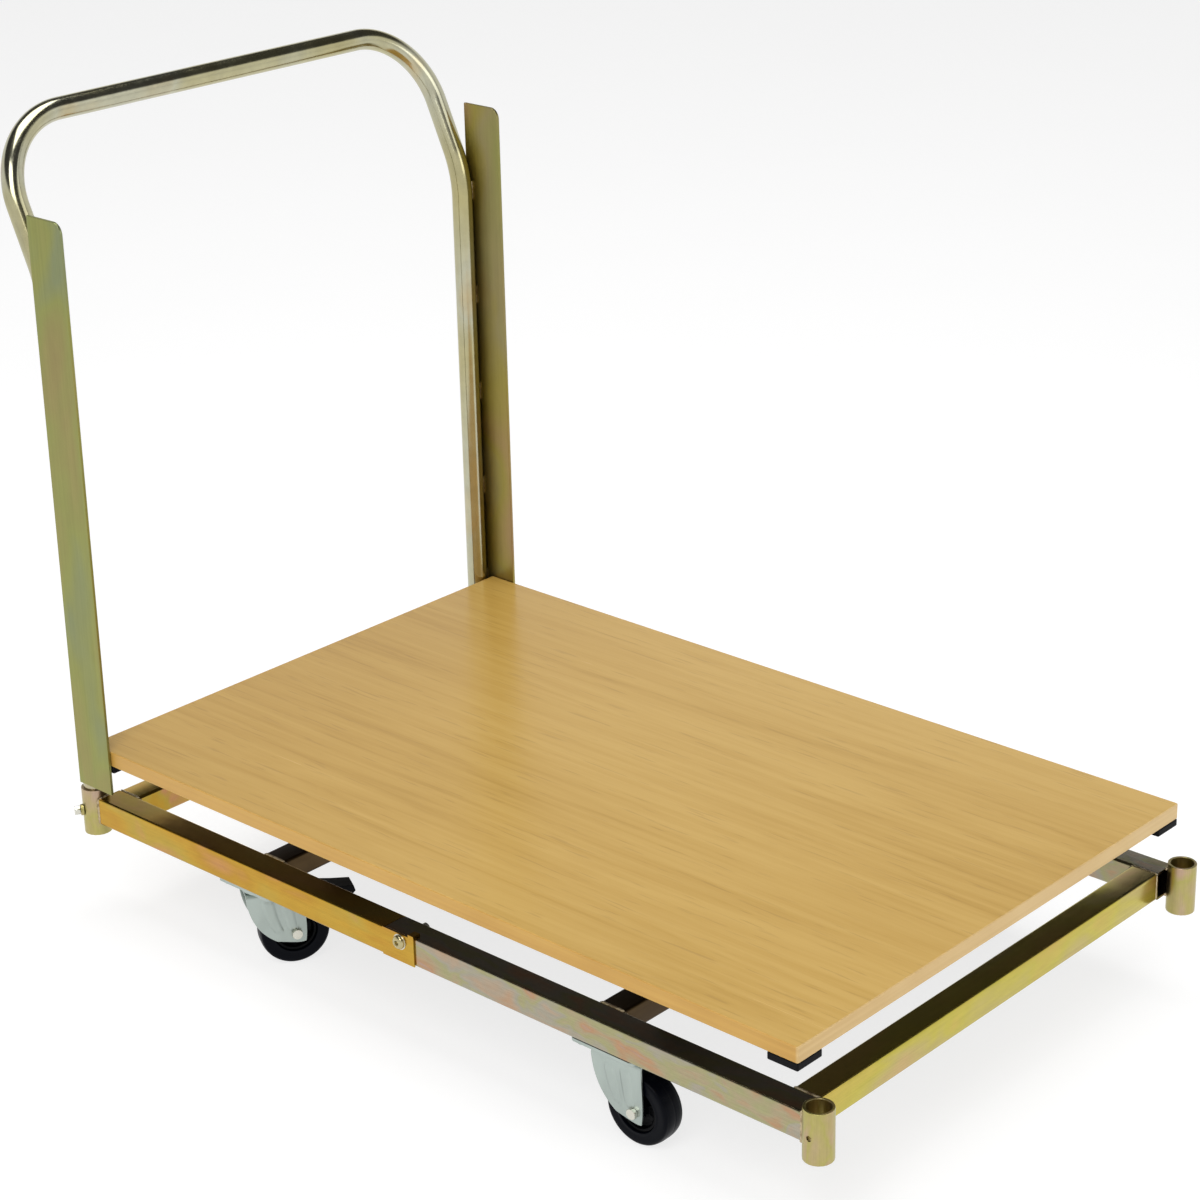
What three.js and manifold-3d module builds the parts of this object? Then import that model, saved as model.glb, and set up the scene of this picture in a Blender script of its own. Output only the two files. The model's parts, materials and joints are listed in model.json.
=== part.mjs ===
// A folding platform cart: a two-part steel frame on four swivel casters, a lift-off wooden deck
// and a push handle that stands in two sockets. Millimetres, +X to the front, +Z up, floor at z = 0.
import * as THREE from "three";
import { mergeVertices } from "three/addons/utils/BufferGeometryUtils.js";
import Module from "manifold-3d";

const wasm = await Module();
wasm.setup();

// Driving dimensions.
const gap = 0.3; // clearance between pieces that touch

const frameLength = 1100; // over the end rails
const frameWidth = 694; // over the side rails
const railSize = 35; // square tube
const railWall = 3;
const railCorner = 3;
const crossMemberWidth = 35;
const crossMemberHeight = 30;
const crossMemberSetting = 267.5; // cross member centre from the middle of the frame

const hingeBehindSeam = 22; // hinge bolt from the seam between the halves
const hingeAboveRail = 25; // hinge bolt from the underside of the rails
const hingeBoltRadius = 5;
const hingeHeadRadius = 8.5;
const hingeHeadHeight = 5.5;
const hingeNutRadius = 8.8;
const hingeNutHeight = 7;
const cheekThickness = 1.7; // rear rail's outer wall beside the bolt
const foldNotch = 45; // how far behind the bolt the rear rail is open below
const stopTabLength = 8.5;
const stopTabDepth = 11;

const socketWall = 3.1;
const socketHeight = 60;
const socketAboveRail = 10;
const socketInset = 9.5; // socket centre from the outside of the side rail, along Y
const clampHoleDepth = 30; // cross hole below the socket rim
const screwRadius = 3;
const screwHeadRadius = 6;
const screwHeadHeight = 7;
const screwTurn = 30; // degrees that the rear screws point back from square

const tubeRadius = 13.45; // handle tube
const tubeWall = 2.5;
const handleBend = 760; // height where the legs start to lean back
const handleLean = 24.5; // degrees
const handleBendRadius = 150;
const handleLeanLength = 168; // along the lean, from the bend to the middle of the grip bar
const handleCornerRadius = 100;
const legInSocket = 5; // leg end above the socket's lower end

const wingWidth = 60;
const wingThickness = 4;
const wingBehindLeg = 5; // rear edge behind the leg's centre line
const wingAboveSocket = 10;
const wingTop = 883;
const wingCorner = 14;

const deckPlay = 1.25; // side of the board to a wing plate
const deckThickness = 19;
const deckAboveFrame = 57;
const deckCorner = 1.5;
const padSize = 40;
const padThickness = 9;
const padCorner = 2;
const battenWidth = 35;
const battenLength = 430;
const stayThickness = 3;
const stayWidth = 60;
const stayReach = 18; // how far a stay reaches down beside the cross member
const stayHeight = 55;

const wheelRadius = 42.5;
const wheelWidth = 30;
const tyreCorner = 4;
const hubRadius = 26;
const hubRim = 5;
const hubBossRadius = 9;
const hubDiscHalf = 6; // half the thickness of the hub's disc
const axleRadius = 4;
const axleHeadRadius = 6.5;
const axleHeadHeight = 5;
const axleNutHeight = 6;
const axleEnd = 3; // thread past the nut
const trail = 32; // axle behind the swivel axis
const frameAboveWheel = 28;
const rearCasterFromSeam = 291; // swivel axis from the middle of the frame, along X
const frontCasterFromSeam = 278;
const casterInset = 35; // swivel axis from the outside of the side rail, along Y
const casterPlate = [90, 64, 4];
const casterPlateCorner = 6;
const casterBoltSpacing = [68, 44];
const casterBoltHole = 4.2;
const raceRadius = 28;
const raceHeight = 5.2;
const forkPlay = 2; // between the wheel and a cheek
const forkWall = 2.5;
const forkCrown = 3;
const forkTail = 26; // crown past the swivel axis, on the side away from the wheel
const forkNose = 11; // cheek past the axle
const forkFoot = 15; // cheek's lowest corner below the axle
const kingPinRadius = 9;
const kingPinHead = 5;
const pedalWidth = 24;
const pedalPinRadius = 3;
const pedalPastAxle = 5;
const pedalAboveWheel = 8.2;

// What follows from them.
const casterHeight = 2 * wheelRadius + frameAboveWheel; // floor to frame
const railBottom = casterHeight;
const railTop = railBottom + railSize;
const frameHalf = frameLength / 2;
const railOuter = frameWidth / 2;
const railInner = railOuter - railSize;
const hingeX = -hingeBehindSeam;
const hingeZ = railBottom + hingeAboveRail;
const rearTubeEnd = hingeX - hingeAboveRail - 1;
const frontRailOuter = railOuter - cheekThickness - gap;
const tubeBore = tubeRadius - tubeWall;
const socketBore = tubeRadius + gap;
const socketRadius = socketBore + socketWall;
const socketX = frameHalf + gap + socketRadius;
const socketSetting = railOuter - socketInset; // socket centre from the middle, along Y
const socketTop = railTop + socketAboveRail;
const socketBottom = socketTop - socketHeight;
const wingInside = socketSetting + tubeRadius + gap;
const deckLength = frameLength;
const deckWidth = 2 * (wingInside - deckPlay);
const deckBottom = railTop + deckAboveFrame;
const casterY = railOuter - casterInset;
const forkGap = wheelWidth / 2 + forkPlay; // wheel middle to the inside of a cheek

// Materials' colours: yellow passivated steel, zinc, rubber and beech.
const finish = {
  rail: { color: 0xb9983f, roughness: 0.36, metalness: 0.9 },
  socket: { color: 0xb2a37c, roughness: 0.38, metalness: 0.9 },
  wing: { color: 0x9aa06a, roughness: 0.42, metalness: 0.8 },
  handle: { color: 0xb5ae8c, roughness: 0.28, metalness: 0.95 },
  bolt: { color: 0xc8c6b4, roughness: 0.3, metalness: 0.95 },
  zinc: { color: 0xa9b0a8, roughness: 0.4, metalness: 0.85 },
  beech: { color: 0xc9a45c, roughness: 0.5, metalness: 0 },
  batten: { color: 0xb48f52, roughness: 0.65, metalness: 0 },
  rubber: { color: 0x14151a, roughness: 0.6, metalness: 0 },
  plastic: { color: 0x101114, roughness: 0.45, metalness: 0 },
};

// Solids and booleans.
function solidOf(geometry) {
  const plain = geometry.clone();
  plain.deleteAttribute("normal");
  if (plain.getAttribute("uv")) plain.deleteAttribute("uv");
  const merged = mergeVertices(plain, 1e-4);
  const vertProperties = merged.attributes.position.array;
  const triVerts = new Uint32Array(merged.index.array);
  return new wasm.Manifold(new wasm.Mesh({ numProp: 3, vertProperties, triVerts }));
}

function geometryOf(solid) {
  const { vertProperties, triVerts } = solid.getMesh();
  const geometry = new THREE.BufferGeometry();
  geometry.setAttribute("position", new THREE.BufferAttribute(vertProperties, 3));
  geometry.setIndex(new THREE.BufferAttribute(triVerts, 1));
  geometry.computeVertexNormals();
  return geometry;
}

function cut(base, ...tools) {
  return geometryOf(tools.reduce((left, tool) => left.subtract(solidOf(tool)), solidOf(base)));
}

function join(base, ...others) {
  return geometryOf(others.reduce((whole, other) => whole.add(solidOf(other)), solidOf(base)));
}

// A box between two corners.
function block(x0, x1, y0, y1, z0, z1) {
  const box = new THREE.BoxGeometry(x1 - x0, y1 - y0, z1 - z0);
  return box.translate((x0 + x1) / 2, (y0 + y1) / 2, (z0 + z1) / 2);
}

const axisTurns = {
  x: (geometry) => geometry.rotateZ(-Math.PI / 2),
  y: (geometry) => geometry,
  z: (geometry) => geometry.rotateX(Math.PI / 2),
};

// A round rod along an axis, between two stations on it.
function rod(radius, from, to, axis, sides = 14) {
  const cylinder = new THREE.CylinderGeometry(radius, radius, to - from, sides);
  cylinder.translate(0, (from + to) / 2, 0);
  return axisTurns[axis](cylinder);
}

// A turned solid about an axis, from [radius, station] pairs listed with the station rising.
function turned(profile, axis, sides = 24) {
  const points = profile.map(([radius, station]) => new THREE.Vector2(radius, station));
  return axisTurns[axis](new THREE.LatheGeometry(points, sides));
}

function roundedRectangle(width, height, radius, target = new THREE.Shape()) {
  const [right, top] = [width / 2, height / 2];
  target.moveTo(right, -top + radius);
  target.lineTo(right, top - radius);
  target.absarc(right - radius, top - radius, radius, 0, Math.PI / 2);
  target.lineTo(-right + radius, top);
  target.absarc(-right + radius, top - radius, radius, Math.PI / 2, Math.PI);
  target.lineTo(-right, -top + radius);
  target.absarc(-right + radius, -top + radius, radius, Math.PI, Math.PI * 1.5);
  target.lineTo(right - radius, -top);
  target.absarc(right - radius, -top + radius, radius, Math.PI * 1.5, Math.PI * 2);
  return target;
}

function extruded(shape, depth, curveSegments) {
  return new THREE.ExtrudeGeometry(shape, { depth, bevelEnabled: false, curveSegments });
}

// Turns an extrusion so that its length runs along X, its section's x along Y and its y along Z.
const alongX = new THREE.Matrix4().makeBasis(
  new THREE.Vector3(0, 1, 0), new THREE.Vector3(0, 0, 1), new THREE.Vector3(1, 0, 0),
);
// The same for a length along Y: the section's x is along Z and its y along X.
const alongY = new THREE.Matrix4().makeBasis(
  new THREE.Vector3(0, 0, 1), new THREE.Vector3(1, 0, 0), new THREE.Vector3(0, 1, 0),
);

function hollowSection(width, height) {
  const section = roundedRectangle(width, height, railCorner);
  const inside = roundedRectangle(width - 2 * railWall, height - 2 * railWall, 1, new THREE.Path());
  section.holes.push(inside);
  return section;
}

// A plate cut to an outline in the XZ plane, between two stations along Y.
function plateXZ(outline, y0, y1, curveSegments = 6) {
  const plate = extruded(outline, y1 - y0, curveSegments);
  plate.rotateX(Math.PI / 2);
  return plate.translate(0, y1, 0);
}

function outlineThrough(points) {
  return new THREE.Shape(points.map(([x, z]) => new THREE.Vector2(x, z)));
}

const cart = new THREE.Group();

function addMesh(parent, name, geometry, look) {
  const mesh = new THREE.Mesh(geometry, new THREE.MeshStandardMaterial(finish[look]));
  mesh.name = name;
  parent.add(mesh);
  return mesh;
}

const sides = [["near", -1], ["far", 1]];

// The rear side rail: a tube, open below and inside in front of foldNotch, whose outer wall runs on
// past the hinge bolt as a cheek and ends in a tab that bears on top of the front rail.
function rearSideRail(side) {
  const length = frameHalf + rearTubeEnd;
  const tube = extruded(hollowSection(railSize, railSize), length, 2).applyMatrix4(alongX);
  tube.translate(-frameHalf, side * (railOuter - railSize / 2), railBottom + railSize / 2);
  const [outer, wallInside] = [side * railOuter, side * (railOuter - cheekThickness)];
  const [cheekFrom, cheekTo] = [Math.min(outer, wallInside), Math.max(outer, wallInside)];
  const cheek = block(rearTubeEnd - 2, 0, cheekFrom, cheekTo, railBottom, railTop);
  const tabInside = side * (railOuter - stopTabDepth);
  const tabFrom = Math.min(outer, tabInside);
  const tabTo = Math.max(outer, tabInside);
  const tabTop = railTop + gap + railWall;
  const riser = block(-stopTabLength, 0, cheekFrom, cheekTo, railTop - 1, tabTop);
  const tab = block(-stopTabLength, 0, tabFrom, tabTo, railTop + gap, tabTop);
  const notchFrom = Math.min(wallInside, side * (railInner - 1));
  const notchTo = Math.max(wallInside, side * (railInner - 1));
  const notchEnd = railTop - railWall;
  const notch = block(hingeX - foldNotch, 0, notchFrom, notchTo, railBottom - 1, notchEnd);
  const boltHole = rod(hingeBoltRadius + gap, -frameWidth, frameWidth, "y");
  boltHole.translate(hingeX, 0, hingeZ);
  return cut(join(cut(tube, notch), cheek, riser, tab), boltHole);
}

// The front side rail lies inside the rear rail's cheek, and its tail is round about the bolt.
function frontSideRail(side) {
  const width = frontRailOuter - railInner;
  const tailEnd = hingeX - hingeAboveRail;
  const tube = extruded(hollowSection(width, railSize), frameHalf - tailEnd, 2).applyMatrix4(alongX);
  tube.translate(tailEnd, side * (railInner + width / 2), railBottom + railSize / 2);
  const corner = new THREE.Shape();
  corner.moveTo(tailEnd - 1, hingeZ);
  corner.lineTo(tailEnd, hingeZ);
  corner.absarc(hingeX, hingeZ, hingeAboveRail, Math.PI, Math.PI * 1.5);
  corner.lineTo(hingeX, railBottom - 1);
  corner.lineTo(tailEnd - 1, railBottom - 1);
  const rounding = plateXZ(corner, -frameWidth, frameWidth, 6);
  const boltHole = rod(hingeBoltRadius + gap, -frameWidth, frameWidth, "y");
  boltHole.translate(hingeX, 0, hingeZ);
  return cut(tube, rounding, boltHole);
}

// A tube across the frame, between the side rails.
function acrossFrame(x, width, height) {
  const span = 2 * (railInner - gap);
  const tube = extruded(hollowSection(height, width), span, 2).applyMatrix4(alongY);
  return tube.translate(x, -span / 2, railTop - height / 2);
}

function socketTube(x, side, turn) {
  const section = new THREE.Shape().absarc(0, 0, socketRadius, 0, Math.PI * 2);
  section.holes.push(new THREE.Path().absarc(0, 0, socketBore, 0, Math.PI * 2));
  const tube = extruded(section, socketHeight, 10);
  const hole = rod(screwRadius + gap, 0, socketRadius + 5, "y", 12);
  hole.rotateZ(side > 0 ? 0 : Math.PI).rotateZ(turn);
  hole.translate(0, 0, socketHeight - clampHoleDepth);
  return cut(tube, hole).translate(x, side * socketSetting, socketBottom);
}

function hingeBolt(side) {
  const start = railInner - hingeNutHeight - 2;
  const head = railOuter + gap;
  const profile = [
    [0, start], [hingeBoltRadius, start], [hingeBoltRadius, head], [hingeHeadRadius, head],
    [hingeHeadRadius, head + 2], [hingeHeadRadius * 0.72, head + hingeHeadHeight - 1],
    [hingeHeadRadius * 0.4, head + hingeHeadHeight], [0, head + hingeHeadHeight],
  ];
  const bolt = turned(profile, "y", 14);
  if (side < 0) bolt.rotateZ(Math.PI);
  return bolt.translate(hingeX, 0, hingeZ);
}

function hingeNut(side) {
  const nut = rod(hingeNutRadius, railInner - gap - hingeNutHeight, railInner - gap, "y", 6);
  const bore = rod(hingeBoltRadius + gap, 0, railOuter, "y");
  const cutNut = cut(nut, bore);
  if (side < 0) cutNut.rotateZ(Math.PI);
  return cutNut.translate(hingeX, 0, hingeZ);
}

function clampScrew(side) {
  const tip = tubeRadius + gap;
  const head = socketRadius + 4;
  const profile = [
    [0, tip], [screwRadius, tip], [screwRadius, head], [screwHeadRadius, head],
    [screwHeadRadius, head + screwHeadHeight], [0, head + screwHeadHeight],
  ];
  const screw = turned(profile, "y", 12);
  if (side < 0) screw.rotateZ(Math.PI);
  return screw;
}

const turnOf = (side) => THREE.MathUtils.degToRad(screwTurn) * side;

for (const [name, side] of sides) {
  addMesh(cart, `rear_side_rail_${name}`, rearSideRail(side), "rail");
  addMesh(cart, `front_side_rail_${name}`, frontSideRail(side), "rail");
  addMesh(cart, `rear_socket_${name}`, socketTube(-socketX, side, turnOf(side)), "socket");
  addMesh(cart, `front_socket_${name}`, socketTube(socketX, side, 0), "socket");
  addMesh(cart, `hinge_bolt_${name}`, hingeBolt(side), "bolt");
  addMesh(cart, `hinge_nut_${name}`, hingeNut(side), "bolt");
  const screw = addMesh(cart, `clamp_screw_${name}`, clampScrew(side), "bolt");
  screw.rotation.z = turnOf(side);
  screw.position.set(-socketX, side * socketSetting, socketTop - clampHoleDepth);
}

const endRailX = frameHalf - railSize / 2;
for (const [name, end] of [["rear", -1], ["front", 1]]) {
  addMesh(cart, `${name}_end_rail`, acrossFrame(end * endRailX, railSize, railSize), "rail");
  const crossMember = acrossFrame(end * crossMemberSetting, crossMemberWidth, crossMemberHeight);
  addMesh(cart, `${name}_cross_member`, crossMember, "rail");
}

// The handle's centre line, station by station: few on the straights, many round the bends.
class Route extends THREE.Curve {
  constructor(stations) {
    super();
    this.stations = stations;
  }
  getPoint(t, target = new THREE.Vector3()) {
    const place = Math.min(Math.max(t, 0), 1) * (this.stations.length - 1);
    const index = Math.min(Math.floor(place), this.stations.length - 2);
    return target.lerpVectors(this.stations[index], this.stations[index + 1], place - index);
  }
  getUtoTmapping(u) {
    return u;
  }
}

function handleStations() {
  const lean = THREE.MathUtils.degToRad(handleLean);
  const along = new THREE.Vector3(-Math.sin(lean), 0, Math.cos(lean));
  const half = [new THREE.Vector3(-socketX, -socketSetting, socketBottom + legInSocket)];
  const bendSteps = 4;
  const bendCentre = new THREE.Vector3(-socketX - handleBendRadius, -socketSetting, handleBend);
  for (let step = 0; step <= bendSteps; step += 1) {
    const angle = (lean * step) / bendSteps;
    const out = new THREE.Vector3(Math.cos(angle), 0, Math.sin(angle));
    half.push(bendCentre.clone().addScaledVector(out, handleBendRadius));
  }
  const bendEnd = half.at(-1).clone();
  const cornerStart = bendEnd.addScaledVector(along, handleLeanLength - handleCornerRadius);
  const cornerSteps = 7;
  for (let step = 0; step <= cornerSteps; step += 1) {
    const angle = (Math.PI / 2) * (step / cornerSteps);
    const station = cornerStart.clone().addScaledVector(along, handleCornerRadius * Math.sin(angle));
    station.y += handleCornerRadius * (1 - Math.cos(angle));
    half.push(station);
  }
  const mirrored = half.map((station) => new THREE.Vector3(station.x, -station.y, station.z));
  return [...half, ...mirrored.reverse()];
}

function handleTube() {
  const section = new THREE.Shape().absarc(0, 0, tubeRadius, 0, Math.PI * 2);
  section.holes.push(new THREE.Path().absarc(0, 0, tubeBore, 0, Math.PI * 2));
  const stations = handleStations();
  const options = { steps: stations.length - 1, curveSegments: 7, extrudePath: new Route(stations) };
  return new THREE.ExtrudeGeometry(section, options);
}

function wingPlate(side) {
  const rear = -socketX - wingBehindLeg;
  const front = rear + wingWidth;
  const bottom = socketTop + wingAboveSocket;
  const outline = new THREE.Shape();
  outline.moveTo(rear, bottom);
  outline.lineTo(front, bottom);
  outline.lineTo(front, wingTop - wingCorner);
  outline.absarc(front - wingCorner, wingTop - wingCorner, wingCorner, 0, Math.PI / 2);
  outline.lineTo(rear, wingTop);
  const outside = wingInside + wingThickness;
  const [from, to] = side > 0 ? [wingInside, outside] : [-outside, -wingInside];
  return plateXZ(outline, from, to);
}

addMesh(cart, "handle_tube", handleTube(), "handle");
for (const [name, side] of sides) addMesh(cart, `wing_plate_${name}`, wingPlate(side), "wing");

// The deck: a board on two battens, which stand on the cross members between stay plates.
function deckBoard() {
  const outline = roundedRectangle(deckLength, deckWidth, deckCorner);
  return extruded(outline, deckThickness, 2).translate(0, 0, deckBottom);
}

addMesh(cart, "deck_board", deckBoard(), "beech");
for (const [name, end] of [["rear", -1], ["front", 1]]) {
  const centre = end * crossMemberSetting;
  const [half, foot, top] = [battenWidth / 2, railTop + gap, deckBottom - gap];
  const batten = block(centre - half, centre + half, -battenLength / 2, battenLength / 2, foot, top);
  addMesh(cart, `deck_batten_${name}`, batten, "batten");
  for (const [place, face] of [["a", -1], ["b", 1]]) {
    const inside = centre + face * (Math.max(half, crossMemberWidth / 2) + gap);
    const outside = inside + face * stayThickness;
    const [x0, x1] = [Math.min(inside, outside), Math.max(inside, outside)];
    const bottom = railTop - stayReach;
    const stay = block(x0, x1, -stayWidth / 2, stayWidth / 2, bottom, bottom + stayHeight);
    addMesh(cart, `deck_stay_${name}_${place}`, stay, "zinc");
  }
  for (const [sideName, side] of sides) {
    const [x, y] = [end * (deckLength - padSize) / 2, side * (deckWidth - padSize) / 2];
    const pad = extruded(roundedRectangle(padSize, padSize, padCorner), padThickness, 2);
    pad.translate(x, y, deckBottom - gap - padThickness);
    addMesh(cart, `corner_pad_${name}_${sideName}`, pad, "rubber");
  }
}

// One caster about its swivel axis, with the wheel trailing along its own +X and the axle along Y.
function casterTopPlate() {
  const [length, width, thickness] = casterPlate;
  const top = casterHeight - gap;
  const plate = extruded(roundedRectangle(length, width, casterPlateCorner), thickness, 3);
  plate.translate(0, 0, top - thickness);
  const race = rod(raceRadius, top - thickness - raceHeight, top - thickness + 1, "z", 20);
  const [dx, dy] = casterBoltSpacing.map((spacing) => spacing / 2);
  const holes = [[dx, dy], [-dx, dy], [dx, -dy], [-dx, -dy]].map(([x, y]) => {
    const hole = rod(casterBoltHole, casterHeight - thickness - 2, casterHeight + 1, "z", 8);
    return hole.translate(x, y, 0);
  });
  return cut(join(plate, race), ...holes);
}

const crownTop = casterHeight - gap - casterPlate[2] - raceHeight - gap;
const crownBottom = crownTop - forkCrown;
const pedalPivot = [trail + pedalPastAxle, 2 * wheelRadius + pedalAboveWheel];

// A cheek is broad at the crown and sweeps back to a point behind the axle.
function forkCheek(y0) {
  const outline = new THREE.Shape();
  outline.moveTo(-forkTail, crownTop);
  outline.lineTo(-forkTail + 2, crownBottom - 12);
  outline.quadraticCurveTo(-forkTail + 8, wheelRadius + 4, 8, wheelRadius - 7);
  outline.lineTo(trail + forkNose, wheelRadius - forkFoot);
  outline.lineTo(trail + forkNose, crownTop);
  return plateXZ(outline, y0, y0 + forkWall, 6);
}

function fork(braked) {
  const outside = forkGap + forkWall;
  const crown = block(-forkTail, trail + forkNose, -outside, outside, crownBottom, crownTop);
  const kingPin = rod(kingPinRadius, crownBottom - kingPinHead, crownBottom + 1, "z", 12);
  const whole = join(crown, kingPin, forkCheek(forkGap), forkCheek(-outside));
  const axleHole = rod(axleRadius + gap, -2 * outside, 2 * outside, "y", 10);
  const tools = [axleHole.translate(trail, 0, wheelRadius)];
  if (braked) {
    const pinHole = rod(pedalPinRadius + gap, -2 * outside, 2 * outside, "y", 10);
    tools.push(pinHole.translate(pedalPivot[0], 0, pedalPivot[1]));
  }
  return cut(whole, ...tools);
}

function axleBolt() {
  const seat = forkGap + forkWall + gap;
  const [head, nut] = [-seat - axleHeadHeight, seat + axleNutHeight];
  const end = nut + axleEnd;
  const profile = [
    [0, head], [axleHeadRadius, head], [axleHeadRadius, -seat], [axleRadius, -seat],
    [axleRadius, seat], [axleHeadRadius, seat], [axleHeadRadius, nut],
    [axleRadius, nut], [axleRadius, end], [0, end],
  ];
  return turned(profile, "y", 10).translate(trail, 0, wheelRadius);
}

function hub() {
  const [bore, half] = [axleRadius + gap, wheelWidth / 2 - 3];
  const [rim, disc] = [hubRadius - gap, hubDiscHalf];
  const inside = rim - hubRim;
  const [boss, root] = [hubBossRadius, hubBossRadius + 1];
  const end = forkGap - 0.5;
  const profile = [
    [bore, -end], [boss, -end], [root, -disc], [inside, -disc], [inside + 1, -half], [rim, -half],
    [rim, half], [inside + 1, half], [inside, disc], [root, disc], [boss, end], [bore, end],
    [bore, -end],
  ];
  return turned(profile, "y", 20).translate(trail, 0, wheelRadius);
}

function tyre() {
  const half = wheelWidth / 2;
  const [shoulder, crown] = [wheelRadius - tyreCorner, wheelRadius];
  const profile = [
    [hubRadius, -half + 2], [hubRadius + 2, -half], [shoulder, -half],
    [crown - 1, -half + tyreCorner - 1.5], [crown, -half + tyreCorner + 1],
    [crown, half - tyreCorner - 1], [crown - 1, half - tyreCorner + 1.5],
    [shoulder, half], [hubRadius + 2, half], [hubRadius, half - 2], [hubRadius, -half + 2],
  ];
  return turned(profile, "y", 28).translate(trail, 0, wheelRadius);
}

// The pedal lies between the cheeks and reaches out over the wheel.
function brakePedal() {
  const [x, z] = pedalPivot;
  const outline = outlineThrough([
    [x - 5, z - 4], [x + 6, z - 4], [x + 40, z - 6], [x + 45, z - 15], [x + 68, z - 15], [x + 71, z - 12],
    [x + 69, z - 5], [x + 46, z - 2], [x + 8, z + 5], [x - 5, z + 4],
  ]);
  const plate = plateXZ(outline, -pedalWidth / 2, pedalWidth / 2);
  const pin = rod(pedalPinRadius, -forkGap - forkWall, forkGap + forkWall, "y", 10);
  return join(plate, pin.translate(x, 0, z));
}

// Each caster: place, direction in which its wheel trails (degrees from +X), and brake.
const casters = [
  { name: "rear_near", fromSeam: -rearCasterFromSeam, side: -1, swivel: 61, braked: true },
  { name: "rear_far", fromSeam: -rearCasterFromSeam, side: 1, swivel: -50, braked: true },
  { name: "front_near", fromSeam: frontCasterFromSeam, side: -1, swivel: 2, braked: false },
  { name: "front_far", fromSeam: frontCasterFromSeam, side: 1, swivel: -8, braked: false },
];
for (const { name, fromSeam, side, swivel, braked } of casters) {
  const place = new THREE.Group();
  place.position.set(fromSeam, side * casterY, 0);
  addMesh(place, `caster_plate_${name}`, casterTopPlate(), "zinc");
  const turning = new THREE.Group();
  turning.rotation.z = THREE.MathUtils.degToRad(swivel);
  addMesh(turning, `fork_${name}`, fork(braked), "zinc");
  addMesh(turning, `axle_bolt_${name}`, axleBolt(), "bolt");
  addMesh(turning, `hub_${name}`, hub(), "plastic");
  addMesh(turning, `tyre_${name}`, tyre(), "rubber");
  if (braked) addMesh(turning, `brake_pedal_${name}`, brakePedal(), "plastic");
  place.add(turning);
  cart.add(place);
}

// The origin is on the floor, under the middle of the whole cart.
const middle = new THREE.Box3().setFromObject(cart, true).getCenter(new THREE.Vector3());
cart.position.set(-middle.x, 0, 0);
cart.updateMatrixWorld(true);

export default cart;
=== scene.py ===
# A folding platform cart of yellow-passivated steel tube, with a beech deck and a lift-out handle.
import json
import math
import bmesh
import bpy
import numpy as np
from mathutils import Matrix, Vector

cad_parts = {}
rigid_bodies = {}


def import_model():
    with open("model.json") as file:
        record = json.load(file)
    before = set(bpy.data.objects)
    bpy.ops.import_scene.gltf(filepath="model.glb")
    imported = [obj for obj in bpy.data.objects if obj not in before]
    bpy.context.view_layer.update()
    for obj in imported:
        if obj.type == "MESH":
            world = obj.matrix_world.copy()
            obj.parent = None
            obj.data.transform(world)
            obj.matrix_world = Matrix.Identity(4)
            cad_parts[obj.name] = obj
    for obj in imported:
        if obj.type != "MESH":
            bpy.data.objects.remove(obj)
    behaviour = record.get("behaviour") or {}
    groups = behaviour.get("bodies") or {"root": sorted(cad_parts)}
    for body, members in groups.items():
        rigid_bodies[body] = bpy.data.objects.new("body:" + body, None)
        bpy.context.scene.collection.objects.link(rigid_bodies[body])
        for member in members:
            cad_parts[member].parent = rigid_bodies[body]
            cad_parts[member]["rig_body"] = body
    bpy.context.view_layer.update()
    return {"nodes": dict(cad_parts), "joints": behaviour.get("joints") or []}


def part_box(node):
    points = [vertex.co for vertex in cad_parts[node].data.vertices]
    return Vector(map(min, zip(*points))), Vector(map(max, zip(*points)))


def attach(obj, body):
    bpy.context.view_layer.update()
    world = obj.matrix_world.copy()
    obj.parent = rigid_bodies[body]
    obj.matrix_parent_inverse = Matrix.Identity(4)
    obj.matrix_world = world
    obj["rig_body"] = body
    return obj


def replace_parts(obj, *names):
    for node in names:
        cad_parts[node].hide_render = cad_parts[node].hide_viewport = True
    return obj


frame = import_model()
joints = {joint["name"]: joint for joint in frame["joints"]}
sideSigns = {"near": -1, "far": 1}
casterNames = ["rear_near", "rear_far", "front_near", "front_far"]
tau = 2 * math.pi
print("frame loaded:", len(frame["nodes"]), "nodes")


# Shader wiring: a node's output that can be added, multiplied and compared like a number.
class Wire:
    def __init__(self, look, socket):
        self.look = look
        self.socket = socket

    def math(self, operation, other, swap=False):
        first, second = (other, self) if swap else (self, other)
        return self.look.add("ShaderNodeMath", {"operation": operation}, {0: first, 1: second})

    def __add__(self, other):
        return self.math("ADD", other)

    def __sub__(self, other):
        return self.math("SUBTRACT", other)

    def __rsub__(self, other):
        return self.math("SUBTRACT", other, swap=True)

    def __mul__(self, other):
        return self.math("MULTIPLY", other)

    __radd__ = __add__
    __rmul__ = __mul__

    def between(self, low, high):  # 0 below low, 1 above high, smooth in the middle
        settings = {"interpolation_type": "SMOOTHSTEP"}
        values = {"Value": self, "From Min": low, "From Max": high}
        return self.look.add("ShaderNodeMapRange", settings, values)


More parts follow.
